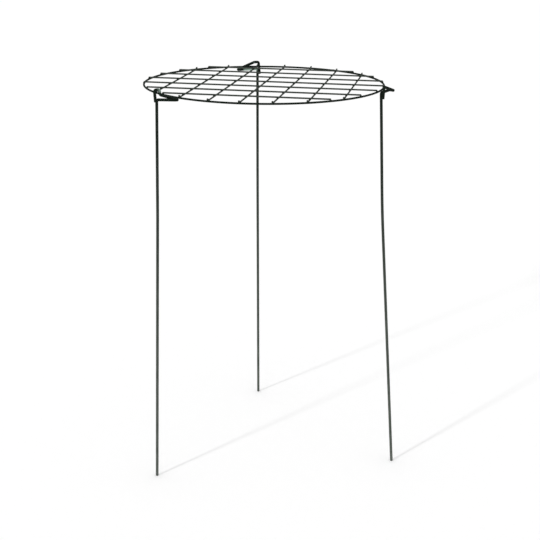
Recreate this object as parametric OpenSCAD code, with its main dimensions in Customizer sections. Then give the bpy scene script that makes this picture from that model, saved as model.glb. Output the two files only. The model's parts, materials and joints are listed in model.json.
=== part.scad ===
// Grow-through plant support: a welded wire ring and grid on three clip-on stakes.
// The origin is on the ground under the middle of the ring, with +Z up.
// The top wires of the grid run along X and the lower wires along Y.

/* [Ring and grid] */
// Diameter of the ring, at the middle of its wire
ring_d = 400; // [340:5:600]
// Height of the ring wire above the ground
ring_height = 665; // [400:5:900]
// Thickness of the ring wire
ring_wire_d = 3.2; // [2.4:0.1:4]
// Thickness of the grid wires
grid_wire_d = 2.6; // [1.6:0.1:3]
// How far the grid wires reach past the middle of the ring wire
grid_overhang = 0.4; // [0.2:0.2:4]
// Length at each end of a lower wire that lies on the ring
joggle_seat = 3.4; // [3:0.2:8]
// Length of the slope by which a lower wire climbs onto the ring
joggle_length = 5; // [4.5:0.5:12]
// Radius of the bends at the ends of that slope
joggle_bend_r = 6; // [4:0.5:7]
// Gap left between wires that are welded
weld_gap = 0.1; // [0.05:0.05:0.2]

/* [Stakes] */
// Thickness of the stake wire
stake_wire_d = 4.8; // [3.4:0.1:5]
// Depth below the ring of the slight bow in a stake
bow_depth = 200; // [150:10:300]
// Lean of a stake above its bow, as a share of its lean overall
bow_share = 0.7; // [0.4:0.02:0.9]
// Radius of the bow
bow_r = 2500; // [800:100:3000]
// Chamfer on the cut end of a stake
tip_chamfer = 0.7; // [0.2:0.1:1.2]
// How far the left stake is clipped from the end of the first lower wire, anticlockwise
left_from_wire = 4.9; // [4.5:0.1:16]
// How far the left foot stands outside the ring
left_foot_out = 27; // [0:1:60]
// How far the left foot stands along the ring, anticlockwise
left_foot_along = 18; // [-20:1:20]
// How far the back stake is clipped from the end of the third lower wire, anticlockwise
back_from_wire = 0.2; // [-1:0.2:12]
// How far the back foot stands outside the ring
back_foot_out = 14; // [0:1:60]
// How far the back foot stands along the ring, anticlockwise
back_foot_along = -5; // [-20:1:20]
// How far the right stake is clipped from the end of the middle top wire, clockwise
right_from_wire = 25.8; // [24:0.2:36]
// How far the right foot stands outside the ring
right_foot_out = 46; // [0:1:60]
// How far the right foot stands along the ring, anticlockwise
right_foot_along = 0; // [-20:1:20]

/* [Clips] */
// Clearance between a clip and the ring wire
clip_clearance = 0.4; // [0.3:0.1:1]
// Radius of the bends in a clip
clip_bend_r = 3; // [2.6:0.1:3.3]
// How much lower the returning strand of a side finger loop lies at its tip
loop_fold = 0.8; // [0.2:0.2:1.6]
// Turn of the top of a clip's wire end round the stake from straight outside the ring, in degrees
end_turn = 24; // [0:2:30]
// Further turn round the stake from the top of the wire end to its tip, in degrees
end_twist = 20; // [0:2:24]
// How far the wire end flares from the stake
end_flare = 0.8; // [0.6:0.1:1.5]
// Depth of the wire end below the ring
end_depth = 14; // [10:0.5:20]
// Length of the left finger loop
left_loop = 34; // [30:1:40]
// Turn of the left finger loop from the ring towards its middle, in degrees
left_swivel = 36; // [28:1:45]
// Depth below the ring at which the left finger loop leaves its stake
left_seat = 11; // [10.5:0.5:14]
// How far the tip of the left finger loop rises
left_lift = 2; // [0:0.5:3]
// Height of the left clip's crown over the least that clears the ring
left_crown_rise = 0.6; // [0.4:0.2:3]
// Length of the back finger loop
back_loop = 38; // [32:1:42]
// Turn of the back finger loop from the ring towards its middle, in degrees
back_swivel = 14; // [12:1:20]
// How much higher the returning strand of the back finger loop lies at its tip
back_fold = 2.4; // [1:0.2:3]
// Height of the back clip's crown over the least that clears the ring
back_crown_rise = 3.4; // [3.2:0.2:5]
// Length of the right finger loop
right_loop = 36; // [32:1:42]
// Turn of the right finger loop from the ring away from its middle, in degrees
right_swivel = 11; // [8:1:20]
// Height of the right clip's crown over the least that clears the ring
right_crown_rise = 0.6; // [0.4:0.2:3]

/* [Hidden] */
$fn = 48;

wires_each_way = 7;
middle_wire = (wires_each_way + 1) / 2;
mesh_pitch = ring_d / (wires_each_way + 1);
ring_r = ring_d / 2;
ring_wire_r = ring_wire_d / 2;
grid_wire_r = grid_wire_d / 2;
stake_wire_r = stake_wire_d / 2;
top_wire_z = ring_height + ring_wire_r + weld_gap + grid_wire_r;
lower_wire_z = top_wire_z - grid_wire_d - weld_gap;
coat = [0.13, 0.19, 0.13];

// Distance between the axes of the ring and of a clip strand that passes it
clip_offset = ring_wire_r + stake_wire_r + clip_clearance;
// Distance between two strands of a clip that lie side by side
strand_pitch = stake_wire_d + clip_clearance;
// Distance between the two strands of a finger loop at its tip
fold_width = 2.5 * clip_bend_r;

// The wire is a hair thicker where it is bent, and its straight runs enter the bends by this much
bend_swell = 0.03;
bend_lap = 0.3;

function unit(v) = v / norm(v);

// Place of a wire in its row, counted from the middle one
function row_place(i) = (i - middle_wire) * mesh_pitch;

// Half of the chord that a circle of radius r gives at distance d from its middle
function half_chord(r, d) = sqrt(r * r - d * d);

// Angle round the ring that a length along it takes
function along_ring(length) = length / ring_r * 180 / PI;

// Angles round the ring of the ends of a lower wire and of the right end of a top wire
function back_end(i) = acos(row_place(i) / ring_r);
function front_end(i) = -back_end(i);
function right_end(i) = asin(row_place(i) / ring_r);

// A point at a distance along a line turned by the swivel from the ring, and at a distance beside that line
function loop_point(swivel, along, beside, z) = [
    -along * sin(swivel) - beside * cos(swivel),
    along * cos(swivel) - beside * sin(swivel),
    z
];

// Turns that carry the z axis onto a direction
function heading(u) = [0, acos(u.z), atan2(u.y, u.x)];

// Where those turns carry the x axis
function heading_x(u) = let (h = heading(u)) [cos(h.y) * cos(h.z), cos(h.y) * sin(h.z), -sin(h.y)];

// Length that the bend at corner i of a path takes from the run on each side of it
function bend_setback(path, radii, i) =
    i == 0 || i == len(path) - 1 ? 0 :
    radii[i] * tan(acos(unit(path[i] - path[i - 1]) * unit(path[i + 1] - path[i])) / 2);

// Round bend from the origin, heading along z and turning towards x
module wire_bend(angle, bend_r, r) {
    translate([bend_r, 0, 0])
        rotate([90, 0, 180])
            rotate_extrude(angle = angle)
                translate([bend_r, 0])
                    circle(r = r + bend_swell);
}

// Straight run along z that enters the bends at its ends, with any chamfer on its lower end
module wire_run(length, r, below, above, chamfer) {
    rotate_extrude()
        polygon([
            [0, -below - chamfer], [r - chamfer, -below - chamfer], [r, -below],
            [r, length + above], [0, length + above]
        ]);
}

// Rest of a bent wire from corner i on, drawn along z, where x is the path's direction of the x axis
module wire_from(path, radii, r, chamfer, i, x) {
    last = len(path) - 2;
    u = unit(path[i + 1] - path[i]);
    run = norm(path[i + 1] - path[i]) - bend_setback(path, radii, i) - bend_setback(path, radii, i + 1);
    wire_run(run, r, i == 0 ? 0 : bend_lap, i == last ? 0 : bend_lap, i == 0 ? chamfer : 0);
    if (i < last) {
        v = unit(path[i + 2] - path[i + 1]);
        turn = acos(u * v);
        side = unit(v - u * (u * v));
        bend_r = radii[i + 1];
        translate([0, 0, run])
            rotate(atan2(side * cross(u, x), side * x)) {
                wire_bend(turn, bend_r, r);
                translate([bend_r, 0, 0])
                    rotate([0, turn, 0])
                        translate([-bend_r, 0, 0])
                            wire_from(path, radii, r, chamfer, i + 1, side * cos(turn) - u * sin(turn));
            }
    }
}

// Round wire along a path of corners, each rounded to its own radius, with a chamfer on its first end
module bent_wire(path, radii, r, chamfer) {
    u = unit(path[1] - path[0]);
    translate(path[0])
        rotate(heading(u))
            wire_from(path, radii, r, chamfer, 0, heading_x(u));
}

// Point beside the stake at a distance from its axis, turned round it from straight outside the ring
function beside_stake(distance, turn, z) = [distance * cos(turn), distance * sin(turn), z];

// The last two corners of a clip: at the top of the wire end and at its tip, beside the stake
function wire_end(side, crown, depth) = [
    beside_stake(strand_pitch, side * end_turn, crown),
    beside_stake(strand_pitch + end_flare, side * (end_turn + end_twist), -depth)
];

// Clip that holds the ring between the strands of its finger loop, close to the stake: the lower
// strand passes under the ring and the upper one comes back over it, from the tip's rise.
// The loop folds to the side that it is turned to.
function high_clip(swivel, loop, rise, crown) = concat(
    [
        [0, 0, -clip_offset],
        loop_point(swivel, loop, 0, -clip_offset),
        loop_point(swivel, loop, sign(swivel) * fold_width, rise - clip_offset),
        crown
    ],
    wire_end(-1, crown.z, end_depth)
);

// Clip that hangs lower: the whole finger loop is under the ring, and its upper strand
// turns up inside the ring before it crosses over it
function low_clip(swivel, loop, seat, tip, crown_z) = concat(
    [
        [0, 0, -seat],
        loop_point(swivel, loop, 0, tip),
        loop_point(swivel, loop, fold_width, tip - loop_fold),
        [-clip_offset, clip_bend_r, -clip_bend_r],
        [-clip_offset, clip_bend_r / 2, crown_z]
    ],
    wire_end(1, crown_z, seat + clip_bend_r)
);

// Ring bent from one length of wire and butt welded
module ring() {
    color(coat)
        translate([0, 0, ring_height])
            rotate_extrude($fn = 180)
                translate([ring_r, 0])
                    circle(r = ring_wire_r);
}

// Wire of the upper layer, laid over the ring
module top_wire(i) {
    y = row_place(i);
    reach = half_chord(ring_r + grid_overhang, y);
    color(coat)
        translate([-reach, y, top_wire_z])
            rotate([0, 90, 0])
                cylinder(h = 2 * reach, r = grid_wire_r);
}

// Wire of the lower layer, which runs under the upper one and climbs at its ends onto the ring
module lower_wire(i) {
    x = row_place(i);
    reach = half_chord(ring_r + grid_overhang, x);
    seat = reach - joggle_seat;
    slope_foot = seat - joggle_length;
    path = [
        [x, -reach, top_wire_z], [x, -seat, top_wire_z], [x, -slope_foot, lower_wire_z],
        [x, slope_foot, lower_wire_z], [x, seat, top_wire_z], [x, reach, top_wire_z]
    ];
    color(coat)
        bent_wire(path, [for (point = path) joggle_bend_r], grid_wire_r, 0);
}

// Stake: splayed leg with a slight bow, and clip, bent from one length of wire
module stake(angle, foot_out, foot_along, clip) {
    foot = [foot_out, foot_along, -ring_height];
    knee_share = bow_share * bow_depth / ring_height;
    knee = [foot.x * knee_share, foot.y * knee_share, -bow_depth];
    up = unit(knee - foot);
    // Centre of the chamfer's upper edge, with the lowest edge of the tilted end on the ground
    end_z = tip_chamfer * up.z + (stake_wire_r - tip_chamfer) * norm([up.x, up.y]) - ring_height;
    shoulder = knee + up * ((end_z - knee.z) / up.z);
    path = concat([shoulder, knee], clip);
    radii = concat([0, bow_r], [for (point = clip) clip_bend_r]);
    color(coat)
        rotate(angle)
            translate([ring_r, 0, ring_height])
                bent_wire(path, radii, stake_wire_r, tip_chamfer);
}

module left_stake() {
    crown_z = clip_offset + left_crown_rise;
    stake(front_end(1) + along_ring(left_from_wire), left_foot_out, left_foot_along,
          low_clip(left_swivel, left_loop, left_seat, left_lift - left_seat, crown_z));
}

module back_stake() {
    crown = [stake_wire_r, 2 * clip_bend_r, clip_offset + back_crown_rise];
    stake(back_end(3) + along_ring(back_from_wire), back_foot_out, back_foot_along,
          high_clip(back_swivel, back_loop, back_fold, crown));
}

module right_stake() {
    crown = [clip_bend_r, 1.4 * clip_bend_r, clip_offset + right_crown_rise];
    stake(right_end(middle_wire) - along_ring(right_from_wire), right_foot_out, right_foot_along,
          high_clip(-right_swivel, right_loop, -loop_fold, crown));
}

ring();
for (i = [1 : wires_each_way])
    top_wire(i);
for (i = [1 : wires_each_way])
    lower_wire(i);
left_stake();
back_stake();
right_stake();
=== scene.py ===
"""Looks of a grow-through plant support: a coated wire ring and grid on three clip-on stakes."""

import json
import math

import bpy
from bpy.props import (
    FloatProperty, FloatVectorProperty, IntProperty, PointerProperty, StringProperty)
from mathutils import Matrix, Vector


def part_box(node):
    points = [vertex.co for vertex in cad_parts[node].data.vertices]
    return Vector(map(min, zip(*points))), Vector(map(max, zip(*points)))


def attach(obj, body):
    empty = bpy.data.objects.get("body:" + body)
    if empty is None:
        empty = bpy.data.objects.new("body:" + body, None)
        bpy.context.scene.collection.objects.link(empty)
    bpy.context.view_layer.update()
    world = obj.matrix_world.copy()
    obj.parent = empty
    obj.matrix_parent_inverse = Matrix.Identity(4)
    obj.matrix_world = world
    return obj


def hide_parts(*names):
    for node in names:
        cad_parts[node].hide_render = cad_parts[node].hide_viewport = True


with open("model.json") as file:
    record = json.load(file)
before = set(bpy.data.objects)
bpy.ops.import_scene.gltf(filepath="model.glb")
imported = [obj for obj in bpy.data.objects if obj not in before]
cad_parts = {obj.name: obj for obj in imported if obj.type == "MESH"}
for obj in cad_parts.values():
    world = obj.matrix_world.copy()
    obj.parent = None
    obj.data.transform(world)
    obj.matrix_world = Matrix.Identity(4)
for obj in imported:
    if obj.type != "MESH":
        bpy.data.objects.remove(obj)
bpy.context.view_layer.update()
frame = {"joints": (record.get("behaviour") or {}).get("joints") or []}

bl_info = {
    "name": "Plant Support",
    "version": (1, 0, 0),
    "blender": (4, 5, 0),
    "location": "View3D > Sidebar > Plant Support",
    "description": "Dresses a wire plant support with coated wire, welds and a plain studio",
    "category": "Object",
}

WIRES_EACH_WAY = 7
FRAME_BODY = "frame"
SIDES = ("left", "back", "right")

# Attributes that the points of a path carry
GIRTH = "girth"
BEND = "bend"

# Fineness of the meshes
RING_POINTS = 540
RING_SIDES = 18
GRID_SIDES = 14
STAKE_SIDES = 20
PATH_STEP = 0.004
ARC_STEP = math.radians(11)
FEWEST_ARCS = 4
CRISP_EDGE = math.radians(32)

# Small shapes. A cut end has the length of its chamfer and the share of girth left at its face.
TIGHT_BEND = 0.01
BUTT_WELD_LENGTH = 0.0022
GRID_END = (0.0003, 0.8)
CLIP_END = (0.0004, 0.82)
FILLET_FLATNESS = 0.7
FILLET_SPREAD = (0.88, 1.12)

# Places in a clip, in radii of its bends
FOLD_ACROSS = 2.5
BACK_CROWN_ALONG = 2
RIGHT_CROWN_ALONG = 1.4

# Patterns of the coat
RUN_LENGTH = 0.014
MOTTLE_WIDTH = 0.003
STREAK_WIDTH = 0.0015
STREAK_LENGTH = 0.025
PEEL_WIDTH = 0.0008
PEEL_DEPTH = 0.0001
COAT_ROUGHNESS = (0.62, 0.82)

# Where a pale highlight is painted on a clip's tight bends: past the ring's radius and over its
# level, each from none to all of it
BEND_HIGHLIGHT_REACH = (0.001, -0.004)
BEND_HIGHLIGHT_RISE = (-0.002, 0.003)
BEND_HIGHLIGHT_SHARE = 0.75

# Where a pale highlight is painted on the back clip: round a place along the strand that runs from
# the clip's seat to the tip of its loop, and under the ring's level, each from none to all of it
STRAND_HIGHLIGHT_ALONG = 0.38
STRAND_HIGHLIGHT_REACH = (0.0145, 0.0115)
STRAND_HIGHLIGHT_DROP = (-0.001, -0.002)

# Share of the coat greyed at the level of the ring and at the ground; towards the ground on the
# stakes it is partly a painted reflection of the pale floor and partly wear
GRID_GREYING = (0.35, 0.35)
STAKE_FLOOR_REFLECTION_AND_WEAR = (0.0, 0.85)

# The stage
FLOOR_HALF = 30.0
SENSOR_WIDTH = 36.0
VIEW_REACH = 100.0

ring_low, ring_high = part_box("ring")
top_low, top_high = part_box("top_wire_4")
RING_WIRE = ring_high.z - ring_low.z
RING_RADIUS = (ring_high.x - ring_low.x - RING_WIRE) / 2
RING_LEVEL = (ring_high.z + ring_low.z) / 2
GRID_WIRE = top_high.z - top_low.z
TOP_LEVEL = (top_high.z + top_low.z) / 2
CLIP_PLACES = {joint["name"].removesuffix("_tilt"): Vector(joint["pos_m"])
               for joint in frame["joints"]}


# Sizes and colours that a user would change


class RingAndGridSizes(bpy.types.PropertyGroup):
    """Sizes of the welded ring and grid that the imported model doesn't give"""

    lower_drop: FloatProperty(
        name="Lower drop", description="How far the lower wires run below the upper ones",
        default=0.0027, unit="LENGTH")
    joggle_seat: FloatProperty(
        name="Joggle seat", description="Length at each end of a lower wire that lies on the ring",
        default=0.0034, unit="LENGTH")
    joggle_length: FloatProperty(
        name="Joggle length",
        description="Length of the slope by which a lower wire climbs onto the ring",
        default=0.005, unit="LENGTH")
    joggle_bend: FloatProperty(
        name="Joggle bend", description="Radius of the bends at the ends of that slope",
        default=0.006, unit="LENGTH")
    butt_weld_angle: FloatProperty(
        name="Butt weld", description="Place of the ring's butt weld, from +X",
        default=math.radians(62), subtype="ANGLE")
    butt_weld_swell: FloatProperty(
        name="Butt weld swell",
        description="How much thicker the ring is at its butt weld, as a share",
        default=0.22, subtype="FACTOR")
    fillet_width: FloatProperty(
        name="Fillet width", description="Width of the coat that fills the corners of a weld",
        default=0.0034, unit="LENGTH")
    seat_fillet: FloatProperty(
        name="Seat fillet",
        description="Size of a fillet where a lower wire sits on the ring, as a share",
        default=0.65, subtype="FACTOR")


class StakeSizes(bpy.types.PropertyGroup):
    """Sizes of the stakes and of the clips bent in them, one value a side where the clips differ"""

    wire: FloatProperty(
        name="Wire", description="Thickness of the stake wire", default=0.0048, unit="LENGTH")
    bow_depth: FloatProperty(
        name="Bow depth", description="Depth below the ring of the slight bow in a stake",
        default=0.200, unit="LENGTH")
    bow_share: FloatProperty(
        name="Bow share",
        description="Lean of a stake above its bow, as a share of its lean overall",
        default=0.7, subtype="FACTOR")
    bow_bend: FloatProperty(
        name="Bow bend", description="Radius of the bow", default=2.5, unit="LENGTH")
    tip_chamfer: FloatProperty(
        name="Tip chamfer", description="Chamfer on the cut end", default=0.0007, unit="LENGTH")
    clearance: FloatProperty(
        name="Clip clearance", description="Clearance between a clip and the ring",
        default=0.0004, unit="LENGTH")
    clip_bend: FloatProperty(
        name="Clip bend", description="Radius of the bends in a clip", default=0.003, unit="LENGTH")
    loop_fold: FloatProperty(
        name="Loop fold",
        description="How much lower a side loop's returning strand lies at its tip",
        default=0.0008, unit="LENGTH")
    back_fold: FloatProperty(
        name="Back fold",
        description="How much higher the back loop's returning strand lies at its tip",
        default=0.0024, unit="LENGTH")
    end_turn: FloatProperty(
        name="End turn", description="Turn of the top of a clip's wire end round the stake",
        default=math.radians(24), subtype="ANGLE")
    end_twist: FloatProperty(
        name="End twist", description="Further turn round the stake down to the wire end's tip",
        default=math.radians(20), subtype="ANGLE")
    end_flare: FloatProperty(
        name="End flare", description="How far the wire end flares from the stake",
        default=0.0008, unit="LENGTH")
    end_depth: FloatProperty(
        name="End depth", description="Depth of the wire end below the ring",
        default=0.014, unit="LENGTH")
    left_seat: FloatProperty(
        name="Left seat",
        description="Depth below the ring at which the left loop leaves its stake",
        default=0.011, unit="LENGTH")
    left_lift: FloatProperty(
        name="Left lift", description="How far the tip of the left loop rises",
        default=0.002, unit="LENGTH")
    loops: FloatVectorProperty(
        name="Loops",
        description="Length of the finger loop on the left, at the back and on the right",
        default=(0.034, 0.038, 0.036), unit="LENGTH")
    swivels: FloatVectorProperty(
        name="Swivels", description="Turn of each finger loop from the ring towards its middle",
        default=(math.radians(36), math.radians(14), math.radians(-11)), subtype="EULER")
    crown_rises: FloatVectorProperty(
        name="Crown rises",
        description="Height of each clip's crown over the least that clears the ring",
        default=(0.0006, 0.0034, 0.0006), unit="LENGTH")
    feet_out: FloatVectorProperty(
        name="Feet out", description="How far each foot stands outside the ring",
        default=(0.027, 0.014, 0.046), unit="LENGTH")
    feet_along: FloatVectorProperty(
        name="Feet along", description="How far each foot stands along the ring, anticlockwise",
        default=(0.018, -0.005, 0.0), unit="LENGTH")


class CoatLooks(bpy.types.PropertyGroup):
    """Colours and evenness of the coat on the wire, and the pale green of the highlights painted on
    it
    """

    deep: StringProperty(
        name="Deep green",
        description="Coat where it is thick, as an sRGB hex value", default="0b120d")
    thin: StringProperty(
        name="Thin green",
        description="Coat where it is thin, as an sRGB hex value", default="19221b")
    # Pale grey-green the coat is greyed towards; at the stakes' feet it partly paints the floor's
    # reflection
    lightened: StringProperty(
        name="Rubbed", description="Coat that soil and hands have rubbed, as an sRGB hex value",
        default="7a8079")
    # Pale green painted as a highlight on the clips' tight bends and on the back clip's strand
    highlight_green: StringProperty(
        name="Blush", description="Coat stretched pale at a tight bend, as an sRGB hex value",
        default="93a99c")
    # Share of the pale green painted as a highlight on the back clip's strand under the ring
    strand_highlight_share: FloatProperty(
        name="Rub",
        description="How far the ring has rubbed the back clip's strand under it to the blush",
        default=0.9, subtype="FACTOR")
    unevenness: FloatProperty(
        name="Unevenness", description="How far the coat's surface rises and falls",
        default=0.00008, unit="LENGTH", precision=5)
    ripple: FloatProperty(
        name="Ripple",
        description="Length of the coat's rises and falls", default=0.009, unit="LENGTH")
    seed: IntProperty(name="Seed", description="Seed of the welds' differences", default=7)


class StudioLooks(bpy.types.PropertyGroup):
    """Camera and light of the plain studio"""

    camera_place: FloatVectorProperty(
        name="Camera place", description="Place of the camera",
        default=(0.34374, -1.77335, 0.94362), subtype="XYZ", unit="LENGTH")
    heading: FloatProperty(
        name="Heading", description="Turn of the view to the left of +Y",
        default=math.radians(10.580), subtype="ANGLE")
    pitch: FloatProperty(
        name="Pitch", description="Turn of the view below the horizon",
        default=math.radians(18.613), subtype="ANGLE")
    roll: FloatProperty(
        name="Roll", description="Turn of the view about its own axis",
        default=math.radians(0.453), subtype="ANGLE")
    lens: FloatProperty(
        name="Lens", description="Focal length in millimetres on a 36 mm sensor", default=71.72)
    sky: FloatProperty(
        name="Sky", description="Strength of the light from all round", default=0.87)
    sun: FloatProperty(
        name="Key", description="Strength of the key light", default=1.1)
    sun_azimuth: FloatProperty(
        name="Key azimuth", description="Direction that the shadows fall in, from +X",
        default=math.radians(55.5), subtype="ANGLE")
    sun_height: FloatProperty(
        name="Key height", description="Height of the key light above the horizon",
        default=math.radians(27), subtype="ANGLE")
    sun_width: FloatProperty(
        name="Key width", description="Width of the key light as seen from the object",
        default=math.radians(3), subtype="ANGLE")


# Small helpers


def srgb(hex_value):
    """Turns an sRGB hex value into a linear colour."""
    shares = [int(hex_value[i:i + 2], 16) / 255 for i in (0, 2, 4)]
    linear = [c / 12.92 if c <= 0.04045 else ((c + 0.055) / 1.055) ** 2.4 for c in shares]
    return (*linear, 1.0)


def add(tree, kind, links=None, **settings):
    """Adds a node, sets its properties or sockets by name and links its inputs."""
    node = tree.nodes.new(kind)
    for name, value in settings.items():
        if hasattr(node, name):
            setattr(node, name, value)
        else:
            node.inputs[name.replace("_", " ").title()].default_value = value
    for name, source in (links or {}).items():
        tree.links.new(source, node.inputs[name])
    return node


def fresh_tree(name, sizes):
    """Starts a Geometry Nodes tree with a geometry input and named float inputs."""
    tree = bpy.data.node_groups.new(name, "GeometryNodeTree")
    tree.interface.new_socket("Geometry", in_out="INPUT", socket_type="NodeSocketGeometry")
    for size in sizes:
        kind = "NodeSocketInt" if size in ("Sides", "Seed") else "NodeSocketFloat"
        tree.interface.new_socket(size, in_out="INPUT", socket_type=kind)
    tree.interface.new_socket("Finish", in_out="INPUT", socket_type="NodeSocketMaterial")
    tree.interface.new_socket("Geometry", in_out="OUTPUT", socket_type="NodeSocketGeometry")
    return tree, tree.nodes.new("NodeGroupInput").outputs


def grown_piece(name, path, tree, values, body, nodes):
    """Runs a tree on a path, keeps the result as one plain mesh and puts it on its body."""
    grower = bpy.data.objects.new(name + "_path", path)
    bpy.context.scene.collection.objects.link(grower)
    modifier = grower.modifiers.new("grow", "NODES")
    modifier.node_group = tree
    for item in tree.interface.items_tree:
        if item.in_out == "INPUT" and item.name in values:
            modifier[item.identifier] = values[item.name]
    evaluated = grower.evaluated_get(bpy.context.evaluated_depsgraph_get())
    mesh = bpy.data.meshes.new_from_object(evaluated)
    grower.modifiers.remove(modifier)
    bpy.data.objects.remove(grower)
    if not mesh.polygons:
        raise RuntimeError(name + " came out empty")
    mesh.name = name
    piece = bpy.data.objects.new(name, mesh)
    bpy.context.scene.collection.objects.link(piece)
    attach(piece, body)
    if nodes:
        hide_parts(*nodes)
    return piece


# Wire paths


def rounded(corners, radii):
    """Points along a path with rounded corners, each with 1 in a tight bend and 0 elsewhere."""
    points = [(corners[0], 0.0)]
    for i in range(1, len(corners) - 1):
        into = (corners[i] - corners[i - 1]).normalized()
        out = (corners[i + 1] - corners[i]).normalized()
        turn = into.angle(out)
        setback = radii[i] * math.tan(turn / 2)
        bend_start = corners[i] - into * setback
        side = (out - into * into.dot(out)).normalized()
        centre = bend_start + side * radii[i]
        points += straight(points[-1][0], bend_start)
        arcs = max(FEWEST_ARCS, math.ceil(turn / ARC_STEP))
        tight = 1.0 if radii[i] < TIGHT_BEND else 0.0
        for k in range(arcs + 1):
            a = turn * k / arcs
            points.append((centre + (into * math.sin(a) - side * math.cos(a)) * radii[i], tight))
    return points + straight(points[-1][0], corners[-1]) + [(corners[-1], 0.0)]


def straight(start, end):
    """Points along a straight run, without its two ends."""
    count = max(1, math.ceil((end - start).length / PATH_STEP))
    return [(start.lerp(end, k / count), 0.0) for k in range(1, count)]


def path_mesh(name, wires, closed=False):
    """Edges along each wire's points, with the wire's girth and bends kept on the points."""
    places, edges, girths, bends = [], [], [], []
    for wire in wires:
        first = len(places)
        for point, bend, girth in wire:
            places.append(point)
            bends.append(bend)
            girths.append(girth)
        edges += [(k, k + 1) for k in range(first, len(places) - 1)]
        if closed:
            edges.append((len(places) - 1, first))
    mesh = bpy.data.meshes.new(name)
    mesh.from_pydata(places, edges, [])
    for attribute, values in ((GIRTH, girths), (BEND, bends)):
        mesh.attributes.new(attribute, "FLOAT", "POINT").data.foreach_set("value", values)
    return mesh


def cut_ends(points, first, last):
    """Gives a wire its girth: full along its length, and a share of that at its two cut ends."""
    wire = [(point, bend, 1.0) for point, bend in points]
    for (chamfer, share), at_start in ((first, True), (last, False)):
        end, inner = (wire[0][0], wire[1][0]) if at_start else (wire[-1][0], wire[-2][0])
        shoulder = end + (inner - end).normalized() * chamfer
        if at_start:
            wire[0:1] = [(end, 0.0, share), (shoulder, 0.0, 1.0)]
        else:
            wire[-1:] = [(shoulder, 0.0, 1.0), (end, 0.0, share)]
    return wire


def stake_corners(side, sizes):
    """Corners of a stake in its clip's frame: x out from the ring, y anticlockwise on it, z up."""
    at = SIDES.index(side)
    offset = (RING_WIRE + sizes.wire) / 2 + sizes.clearance
    bend = sizes.clip_bend
    crown = offset + sizes.crown_rises[at]
    swivel = sizes.swivels[at]
    along = Vector((-math.sin(swivel), math.cos(swivel), 0)) * sizes.loops[at]
    across = math.copysign(FOLD_ACROSS * bend, swivel)
    beside = Vector((-math.cos(swivel), -math.sin(swivel), 0)) * across
    fold = beside + Vector((0, 0, sizes.back_fold if side == "back" else -sizes.loop_fold))
    if side == "left":
        seat = Vector((0, 0, -sizes.left_seat))
        tip = seat + along + Vector((0, 0, sizes.left_lift))
        over = [Vector((-offset, bend, -bend)), Vector((-offset, bend / 2, crown))]
        hand, depth = 1, sizes.left_seat + bend
    else:
        seat = Vector((0, 0, -offset))
        tip = seat + along
        if side == "back":
            over = [Vector((sizes.wire / 2, BACK_CROWN_ALONG * bend, crown))]
        else:
            over = [Vector((bend, RIGHT_CROWN_ALONG * bend, crown))]
        hand, depth = -1, sizes.end_depth
    pitch = sizes.wire + sizes.clearance
    ends = [Vector((distance * math.cos(turn), hand * distance * math.sin(turn), z))
            for distance, turn, z in (
                (pitch, sizes.end_turn, crown),
                (pitch + sizes.end_flare, sizes.end_turn + sizes.end_twist, -depth))]
    foot = Vector((sizes.feet_out[at], sizes.feet_along[at], -RING_LEVEL))
    knee = foot * (sizes.bow_share * sizes.bow_depth / RING_LEVEL)
    knee.z = -sizes.bow_depth
    rise = (knee - foot).normalized()
    end_z = (sizes.wire / 2 - sizes.tip_chamfer) * math.hypot(rise.x, rise.y) - RING_LEVEL
    start = knee + rise * ((end_z - knee.z) / rise.z)
    return [start, knee, seat, tip, tip + fold, *over, *ends]


# Finishes


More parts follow.
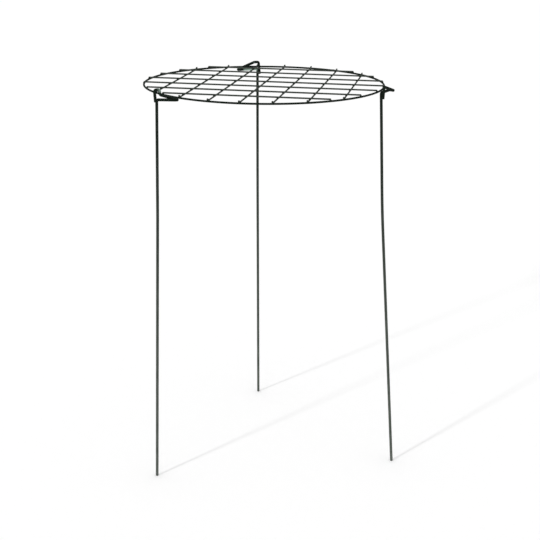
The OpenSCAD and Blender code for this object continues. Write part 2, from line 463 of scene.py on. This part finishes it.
def coated_wire(name, looks, greying_range=(0.0, 0.0), strand_highlight_place=None):
    """Steel wire dipped in dark green PVC and cured, so it has a dull satin skin that is a little
    uneven: deeper green where the coat ran thick, greyer where it is thin, with a fine orange peel.
    It can be greyed in streaks, towards a stake's foot partly as a painted reflection of the pale
    floor and partly as wear, and given a place on the back clip it paints pale highlights on the
    clips' tight bends and on that strand."""
    material = bpy.data.materials.new(name)
    material.use_nodes = True
    tree = material.node_tree
    shader = tree.nodes["Principled BSDF"]
    # PVC has an index of about 1.53, and the dull skin scatters nearly all that it would mirror
    shader.inputs["IOR"].default_value = 1.53
    shader.inputs["Specular IOR Level"].default_value = 0.04
    place = add(tree, "ShaderNodeTexCoord").outputs["Object"]
    # Runs in the coat are about 14 mm long, and the coat is mottled at about 3 mm
    runs = add(tree, "ShaderNodeTexNoise", {"Vector": place}, Scale=1 / RUN_LENGTH, Detail=3.0,
               Roughness=0.55)
    colour = add(tree, "ShaderNodeMix", {"Factor": runs.outputs["Fac"]}, data_type="RGBA")
    colour.inputs[6].default_value = srgb(looks.deep)
    colour.inputs[7].default_value = srgb(looks.thin)
    skin = colour.outputs[2]
    mottle = add(tree, "ShaderNodeTexNoise", {"Vector": place}, Scale=1 / MOTTLE_WIDTH, Detail=2.0)
    rough = add(tree, "ShaderNodeMapRange", {"Value": mottle.outputs["Fac"]},
                To_Min=COAT_ROUGHNESS[0], To_Max=COAT_ROUGHNESS[1])
    # The coat is greyed in streaks about 25 mm long, more towards a stake's foot, where it is
    # partly a painted reflection of the pale floor and partly wear
    height = add(tree, "ShaderNodeSeparateXYZ", {"Vector": place}).outputs["Z"]
    reach = add(tree, "ShaderNodeMapRange", {"Value": height}, From_Min=RING_LEVEL, From_Max=0.0,
                To_Min=greying_range[0], To_Max=greying_range[1])
    streaks = add(tree, "ShaderNodeMapping", {"Vector": place},
                  Scale=(1.0, 1.0, STREAK_WIDTH / STREAK_LENGTH))
    grain = add(tree, "ShaderNodeTexNoise", {"Vector": streaks.outputs["Vector"]},
                Scale=1 / STREAK_WIDTH, Detail=3.0)
    greying_share = add(tree, "ShaderNodeMath", {0: reach.outputs["Result"], 1: grain.outputs["Fac"]},
               operation="MULTIPLY")
    greyed = add(tree, "ShaderNodeMix", {"Factor": greying_share.outputs["Value"], 6: skin},
                 data_type="RGBA")
    greyed.inputs[7].default_value = srgb(looks.lightened)
    skin = greyed.outputs[2]
    if strand_highlight_place is not None:
        # Pale highlights are painted on the clips' tight bends inside and over the ring
        bend = add(tree, "ShaderNodeAttribute", attribute_name=BEND)
        flat = add(tree, "ShaderNodeVectorMath", {0: place}, operation="MULTIPLY")
        flat.inputs[1].default_value = (1.0, 1.0, 0.0)
        radius = add(tree, "ShaderNodeVectorMath", {0: flat.outputs["Vector"]}, operation="LENGTH")
        inside = add(tree, "ShaderNodeMapRange", {"Value": radius.outputs["Value"]},
                     From_Min=RING_RADIUS + BEND_HIGHLIGHT_REACH[0], From_Max=RING_RADIUS + BEND_HIGHLIGHT_REACH[1],
                     To_Min=0.0, To_Max=BEND_HIGHLIGHT_SHARE)
        over = add(tree, "ShaderNodeMapRange", {"Value": height},
                   From_Min=RING_LEVEL + BEND_HIGHLIGHT_RISE[0], From_Max=RING_LEVEL + BEND_HIGHLIGHT_RISE[1])
        both = add(tree, "ShaderNodeMath", {0: inside.outputs["Result"], 1: over.outputs["Result"]},
                   operation="MULTIPLY")
        bend_highlight = add(tree, "ShaderNodeMath", {0: both.outputs["Value"], 1: bend.outputs["Fac"]},
                        operation="MULTIPLY")
        # A pale highlight is also painted on the back clip's strand under the ring
        away = add(tree, "ShaderNodeVectorMath", {0: place}, operation="DISTANCE")
        away.inputs[1].default_value = strand_highlight_place
        near = add(tree, "ShaderNodeMapRange", {"Value": away.outputs["Value"]},
                   From_Min=STRAND_HIGHLIGHT_REACH[0], From_Max=STRAND_HIGHLIGHT_REACH[1], To_Min=0.0, To_Max=looks.strand_highlight_share)
        under = add(tree, "ShaderNodeMapRange", {"Value": height},
                    From_Min=RING_LEVEL + STRAND_HIGHLIGHT_DROP[0], From_Max=RING_LEVEL + STRAND_HIGHLIGHT_DROP[1])
        lightened = add(tree, "ShaderNodeMath",
                     {0: near.outputs["Result"], 1: under.outputs["Result"]}, operation="MULTIPLY")
        share = add(tree, "ShaderNodeMath",
                    {0: bend_highlight.outputs["Value"], 1: lightened.outputs["Value"]},
                    operation="MAXIMUM")
        pale = add(tree, "ShaderNodeMix", {"Factor": share.outputs["Value"], 6: skin},
                   data_type="RGBA")
        pale.inputs[7].default_value = srgb(looks.highlight_green)
        skin = pale.outputs[2]
    tree.links.new(skin, shader.inputs["Base Color"])
    tree.links.new(rough.outputs["Result"], shader.inputs["Roughness"])
    # Orange peel of about 0.8 mm, drawn as coarse as it needs to show
    peel = add(tree, "ShaderNodeTexNoise", {"Vector": place}, Scale=1 / PEEL_WIDTH, Detail=1.0)
    bump = add(tree, "ShaderNodeBump", {"Height": peel.outputs["Fac"]}, Strength=0.25,
               Distance=PEEL_DEPTH)
    tree.links.new(bump.outputs["Normal"], shader.inputs["Normal"])
    return material


# Geometry Nodes


def wire_tree():
    """Sweeps a round wire along a path, with its girth from the path and a slightly uneven coat."""
    tree, given = fresh_tree("coated_wire", ("Wire Radius", "Sides", "Unevenness", "Ripple"))
    curve = add(tree, "GeometryNodeMeshToCurve", {"Mesh": given["Geometry"]})
    girth = add(tree, "GeometryNodeInputNamedAttribute", Name=GIRTH)
    profile = add(tree, "GeometryNodeCurvePrimitiveCircle",
                  {"Resolution": given["Sides"], "Radius": given["Wire Radius"]})
    swept = add(tree, "GeometryNodeCurveToMesh",
                {"Curve": curve.outputs["Curve"], "Profile Curve": profile.outputs["Curve"],
                 "Scale": girth.outputs["Attribute"]})
    swept.inputs["Fill Caps"].default_value = True
    place = add(tree, "GeometryNodeInputPosition").outputs["Position"]
    pitch = add(tree, "ShaderNodeMath", {1: given["Ripple"]}, operation="DIVIDE")
    pitch.inputs[0].default_value = 1.0
    noise = add(tree, "ShaderNodeTexNoise", {"Vector": place, "Scale": pitch.outputs["Value"]},
                Detail=1.0)
    swing = add(tree, "ShaderNodeMath", {0: noise.outputs["Fac"]}, operation="SUBTRACT")
    swing.inputs[1].default_value = 0.5
    rise = add(tree, "ShaderNodeMath", {0: swing.outputs["Value"], 1: given["Unevenness"]},
               operation="MULTIPLY")
    normal = add(tree, "GeometryNodeInputNormal").outputs["Normal"]
    lift = add(tree, "ShaderNodeVectorMath", {"Vector": normal, "Scale": rise.outputs["Value"]},
               operation="SCALE")
    coated = add(tree, "GeometryNodeSetPosition",
                 {"Geometry": swept.outputs["Mesh"], "Offset": lift.outputs["Vector"]})
    smooth = add(tree, "GeometryNodeSetShadeSmooth", {"Geometry": coated.outputs["Geometry"]})
    angle = add(tree, "GeometryNodeInputMeshEdgeAngle").outputs["Unsigned Angle"]
    corner = add(tree, "FunctionNodeCompare", {"A": angle}, operation="GREATER_THAN")
    corner.inputs["B"].default_value = CRISP_EDGE
    crisp = add(tree, "GeometryNodeSetShadeSmooth",
                {"Geometry": smooth.outputs["Geometry"], "Selection": corner.outputs["Result"]},
                domain="EDGE")
    crisp.inputs["Shade Smooth"].default_value = False
    close_tree(tree, crisp.outputs["Geometry"], given["Finish"])
    return tree


def weld_tree():
    """Puts a fillet of coat on each weld place, no two quite alike."""
    tree, given = fresh_tree("weld_fillets", ("Fillet Width", "Flatness", "Seed"))
    half = add(tree, "ShaderNodeMath", {0: given["Fillet Width"]}, operation="MULTIPLY")
    half.inputs[1].default_value = 0.5
    drop = add(tree, "GeometryNodeMeshIcoSphere", {"Radius": half.outputs["Value"]}, Subdivisions=3)
    wide = add(tree, "FunctionNodeRandomValue", {"Seed": given["Seed"]}, data_type="FLOAT")
    wide.inputs[2].default_value, wide.inputs[3].default_value = FILLET_SPREAD
    girth = add(tree, "GeometryNodeInputNamedAttribute", Name=GIRTH)
    across = add(tree, "ShaderNodeMath", {0: wide.outputs[1], 1: girth.outputs["Attribute"]},
                 operation="MULTIPLY")
    tall = add(tree, "ShaderNodeMath", {0: across.outputs["Value"], 1: given["Flatness"]},
               operation="MULTIPLY")
    scale = add(tree, "ShaderNodeCombineXYZ",
                {"X": across.outputs["Value"], "Y": across.outputs["Value"],
                 "Z": tall.outputs["Value"]})
    placed = add(tree, "GeometryNodeInstanceOnPoints",
                 {"Points": given["Geometry"], "Instance": drop.outputs["Mesh"],
                  "Scale": scale.outputs["Vector"]})
    smooth = add(tree, "GeometryNodeSetShadeSmooth", {"Geometry": placed.outputs["Instances"]})
    close_tree(tree, smooth.outputs["Geometry"], given["Finish"])
    return tree


def close_tree(tree, geometry, finish):
    """Ends a tree in plain geometry with its finish."""
    real = add(tree, "GeometryNodeRealizeInstances", {"Geometry": geometry})
    painted = add(tree, "GeometryNodeSetMaterial",
                  {"Geometry": real.outputs["Geometry"], "Material": finish})
    add(tree, "NodeGroupOutput", {"Geometry": painted.outputs["Geometry"]})


# Operators


class BuildRing(bpy.types.Operator):
    """Bend the ring from coated wire and give it its butt weld"""

    bl_idname = "plant_support.ring"
    bl_label = "Build ring"

    def execute(self, context):
        sizes = context.scene.support_ring
        looks = context.scene.support_coat
        wire = []
        for k in range(RING_POINTS):
            angle = 2 * math.pi * k / RING_POINTS
            away = math.remainder(angle - sizes.butt_weld_angle, 2 * math.pi) * RING_RADIUS
            swell = 1 + sizes.butt_weld_swell * math.exp(-((away / BUTT_WELD_LENGTH) ** 2))
            x, y = RING_RADIUS * math.cos(angle), RING_RADIUS * math.sin(angle)
            wire.append((Vector((x, y, RING_LEVEL)), 0.0, swell))
        grown_piece(
            "ring_wire", path_mesh("ring_path", [wire], closed=True), wire_tree(),
            {"Wire Radius": RING_WIRE / 2, "Sides": RING_SIDES, "Unevenness": looks.unevenness,
             "Ripple": looks.ripple, "Finish": coated_wire("pvc_dipped_ring_wire", looks)},
            FRAME_BODY, ["ring"])
        return {"FINISHED"}


class BuildGrid(bpy.types.Operator):
    """Lay the two rows of grid wires over the ring"""

    bl_idname = "plant_support.grid"
    bl_label = "Build grid"

    def execute(self, context):
        sizes = context.scene.support_ring
        looks = context.scene.support_coat
        finish = coated_wire("pvc_dipped_grid_wire", looks, GRID_GREYING)
        tree = wire_tree()
        values = {"Wire Radius": GRID_WIRE / 2, "Sides": GRID_SIDES, "Unevenness": looks.unevenness,
                  "Ripple": looks.ripple, "Finish": finish}
        rows = {"top": [], "lower": []}
        for i in range(1, WIRES_EACH_WAY + 1):
            low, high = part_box(f"top_wire_{i}")
            y = (low.y + high.y) / 2
            ends = [Vector((x, y, TOP_LEVEL)) for x in (low.x, high.x)]
            rows["top"].append(cut_ends(rounded(ends, []), GRID_END, GRID_END))
            low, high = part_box(f"lower_wire_{i}")
            x = (low.x + high.x) / 2
            seat = high.y - sizes.joggle_seat
            foot = seat - sizes.joggle_length
            under = TOP_LEVEL - sizes.lower_drop
            corners = [Vector((x, y, z)) for y, z in (
                (-high.y, TOP_LEVEL), (-seat, TOP_LEVEL), (-foot, under),
                (foot, under), (seat, TOP_LEVEL), (high.y, TOP_LEVEL))]
            bends = [sizes.joggle_bend] * len(corners)
            rows["lower"].append(cut_ends(rounded(corners, bends), GRID_END, GRID_END))
        for row, wires in rows.items():
            nodes = [f"{row}_wire_{i}" for i in range(1, WIRES_EACH_WAY + 1)]
            grown_piece(f"{row}_grid_wires", path_mesh(f"{row}_paths", wires), tree, values,
                        FRAME_BODY, nodes)
        return {"FINISHED"}


class BuildWelds(bpy.types.Operator):
    """Fill the corners of the welds with coat, at the crossings and on the ring"""

    bl_idname = "plant_support.welds"
    bl_label = "Build welds"

    def execute(self, context):
        sizes = context.scene.support_ring
        looks = context.scene.support_coat
        rows = []
        columns = []
        for i in range(1, WIRES_EACH_WAY + 1):
            low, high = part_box(f"top_wire_{i}")
            rows.append((low.y + high.y) / 2)
            low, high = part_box(f"lower_wire_{i}")
            columns.append((low.x + high.x) / 2)
        crossing_level = TOP_LEVEL - sizes.lower_drop / 2
        places = [Vector((x, y, crossing_level)) for x in columns for y in rows
                  if math.hypot(x, y) < RING_RADIUS - GRID_WIRE]
        seat_level = (TOP_LEVEL - GRID_WIRE / 2 + ring_high.z) / 2
        for place in rows:
            reach = math.sqrt(RING_RADIUS ** 2 - place ** 2)
            places += [Vector((x, place, seat_level)) for x in (-reach, reach)]
        girths = [1.0] * len(places)
        for place in columns:
            reach = math.sqrt(RING_RADIUS ** 2 - place ** 2)
            places += [Vector((place, y, seat_level)) for y in (-reach, reach)]
            girths += [sizes.seat_fillet] * 2
        mesh = bpy.data.meshes.new("weld_places")
        mesh.from_pydata(places, [], [])
        mesh.attributes.new(GIRTH, "FLOAT", "POINT").data.foreach_set("value", girths)
        grown_piece(
            "weld_fillets", mesh, weld_tree(),
            {"Fillet Width": sizes.fillet_width, "Flatness": FILLET_FLATNESS, "Seed": looks.seed,
             "Finish": coated_wire("pvc_pooled_at_welds", looks)},
            FRAME_BODY, [])
        return {"FINISHED"}


class BuildStakes(bpy.types.Operator):
    """Bend the three stakes with the clips that hold the ring"""

    bl_idname = "plant_support.stakes"
    bl_label = "Build stakes"

    def execute(self, context):
        sizes = context.scene.support_stakes
        looks = context.scene.support_coat
        paths = {}
        for side in SIDES:
            clip_place = CLIP_PLACES[side]
            turn = Matrix.Rotation(math.atan2(clip_place.y, clip_place.x), 4, "Z")
            paths[side] = [clip_place + turn @ corner for corner in stake_corners(side, sizes)]
        # Place of the highlight painted on the back clip's strand
        _, _, seat, tip, *_ = paths["back"]
        strand_highlight_place = seat.lerp(tip, STRAND_HIGHLIGHT_ALONG)
        finish = coated_wire("pvc_dipped_stake_rod", looks, STAKE_FLOOR_REFLECTION_AND_WEAR, strand_highlight_place)
        tree = wire_tree()
        for side, corners in paths.items():
            radii = [0.0, sizes.bow_bend] + [sizes.clip_bend] * (len(corners) - 2)
            chamfer = (sizes.tip_chamfer, 1 - 2 * sizes.tip_chamfer / sizes.wire)
            wire = cut_ends(rounded(corners, radii), chamfer, CLIP_END)
            grown_piece(
                f"{side}_stake_rod", path_mesh(f"{side}_stake_path", [wire]), tree,
                {"Wire Radius": sizes.wire / 2, "Sides": STAKE_SIDES,
                 "Unevenness": looks.unevenness, "Ripple": looks.ripple, "Finish": finish},
                f"{side}_leg", [f"{side}_stake"])
        return {"FINISHED"}


class BuildStage(bpy.types.Operator):
    """Set up the pale floor, the soft light and the camera"""

    bl_idname = "plant_support.stage"
    bl_label = "Build stage"

    def execute(self, context):
        studio = context.scene.support_studio
        scene = context.scene
        scene.view_settings.view_transform = "Standard"
        self.lay_floor(scene)
        self.light(scene, studio)
        data = bpy.data.cameras.new("camera")
        data.sensor_width = SENSOR_WIDTH
        data.lens = studio.lens
        data.clip_end = VIEW_REACH
        camera = bpy.data.objects.new("camera", data)
        scene.collection.objects.link(camera)
        aim = (Matrix.Rotation(studio.heading, 4, "Z")
               @ Matrix.Rotation(math.pi / 2 - studio.pitch, 4, "X")
               @ Matrix.Rotation(studio.roll, 4, "Z"))
        camera.matrix_world = Matrix.Translation(studio.camera_place) @ aim
        scene.camera = camera
        return {"FINISHED"}

    def lay_floor(self, scene):
        """A large flat floor, painted so pale that the plain light makes it white."""
        mesh = bpy.data.meshes.new("floor")
        half = FLOOR_HALF
        corners = [(-half, -half, 0), (half, -half, 0), (half, half, 0), (-half, half, 0)]
        mesh.from_pydata(corners, [], [(0, 1, 2, 3)])
        floor = bpy.data.objects.new("floor", mesh)
        scene.collection.objects.link(floor)
        paint = bpy.data.materials.new("matt_white_paint")
        paint.use_nodes = True
        shader = paint.node_tree.nodes["Principled BSDF"]
        shader.inputs["Base Color"].default_value = srgb("fdfdfd")
        shader.inputs["Roughness"].default_value = 1.0
        shader.inputs["Specular IOR Level"].default_value = 0.0
        mesh.materials.append(paint)

    def light(self, scene, studio):
        """A white sky that the camera and glossy surfaces see at full strength, and a low key light
        from the front left that lays the shadows."""
        world = bpy.data.worlds.new("sky")
        scene.world = world
        world.use_nodes = True
        tree = world.node_tree
        sky = tree.nodes["Background"]
        sky.inputs["Color"].default_value = (1, 1, 1, 1)
        path = add(tree, "ShaderNodeLightPath")
        seen = add(tree, "ShaderNodeMath",
                   {0: path.outputs["Is Camera Ray"], 1: path.outputs["Is Glossy Ray"]},
                   operation="MAXIMUM")
        through = add(tree, "ShaderNodeMath",
                      {0: seen.outputs["Value"], 1: path.outputs["Is Transmission Ray"]},
                      operation="MAXIMUM")
        strength = add(tree, "ShaderNodeMapRange", {"Value": through.outputs["Value"]},
                       To_Min=studio.sky, To_Max=1.0)
        tree.links.new(strength.outputs["Result"], sky.inputs["Strength"])
        data = bpy.data.lights.new("key", "SUN")
        data.energy = studio.sun
        data.angle = studio.sun_width
        key = bpy.data.objects.new("key", data)
        scene.collection.objects.link(key)
        fall = Vector((math.cos(studio.sun_azimuth) * math.cos(studio.sun_height),
                       math.sin(studio.sun_azimuth) * math.cos(studio.sun_height),
                       -math.sin(studio.sun_height)))
        key.rotation_mode = "QUATERNION"
        key.rotation_quaternion = fall.to_track_quat("-Z", "Y")


class SupportPanel(bpy.types.Panel):
    """Lists the sizes, the colours and the steps"""

    bl_idname = "VIEW3D_PT_plant_support"
    bl_label = "Plant Support"
    bl_space_type = "VIEW_3D"
    bl_region_type = "UI"
    bl_category = "Plant Support"

    def draw(self, context):
        for operator in OPERATORS:
            self.layout.operator(operator.bl_idname)
        for group in GROUPS:
            box = self.layout.box()
            for name in GROUPS[group].__annotations__:
                box.prop(getattr(context.scene, group), name)


GROUPS = {
    "support_ring": RingAndGridSizes,
    "support_stakes": StakeSizes,
    "support_coat": CoatLooks,
    "support_studio": StudioLooks,
}
OPERATORS = (BuildRing, BuildGrid, BuildWelds, BuildStakes, BuildStage)


def register():
    for cls in (*GROUPS.values(), *OPERATORS, SupportPanel):
        bpy.utils.register_class(cls)
    for name, group in GROUPS.items():
        setattr(bpy.types.Scene, name, PointerProperty(type=group))


def unregister():
    for name in GROUPS:
        delattr(bpy.types.Scene, name)
    for cls in reversed((*GROUPS.values(), *OPERATORS, SupportPanel)):
        bpy.utils.unregister_class(cls)


def main():
    register()
    bpy.ops.plant_support.ring()
    bpy.ops.plant_support.grid()
    bpy.ops.plant_support.welds()
    bpy.ops.plant_support.stakes()
    bpy.ops.plant_support.stage()


if __name__ == "__main__":
    main()
